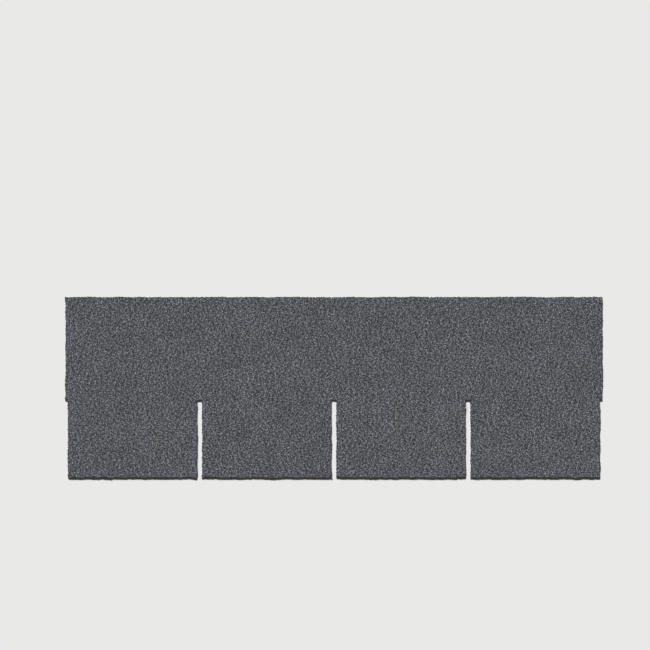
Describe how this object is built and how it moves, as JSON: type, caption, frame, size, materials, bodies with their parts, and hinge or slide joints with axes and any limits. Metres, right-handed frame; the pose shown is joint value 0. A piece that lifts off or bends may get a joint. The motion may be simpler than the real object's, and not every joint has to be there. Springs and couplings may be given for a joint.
{
  "type": "asphalt strip shingle",
  "caption": "Flat granule-surfaced asphalt strip shingle in blue-grey, with square tabs parted by narrow slots along its lower half, laid in overlapping courses on a roof.",
  "frame": {"origin": "middle of the strip's outline, on its underside", "axes": "+X along the course, +Y up the slope from the butt edge of the tabs to the head edge, +Z out of the granule face"},
  "size_m": [1, 0.336, 0.003],
  "materials": {
    "granules": "matte",
    "bitumen": "satin"
  },
  "bodies": {
    "root": {"shingle_strip": "granules"}
  },
  "joints": []
}
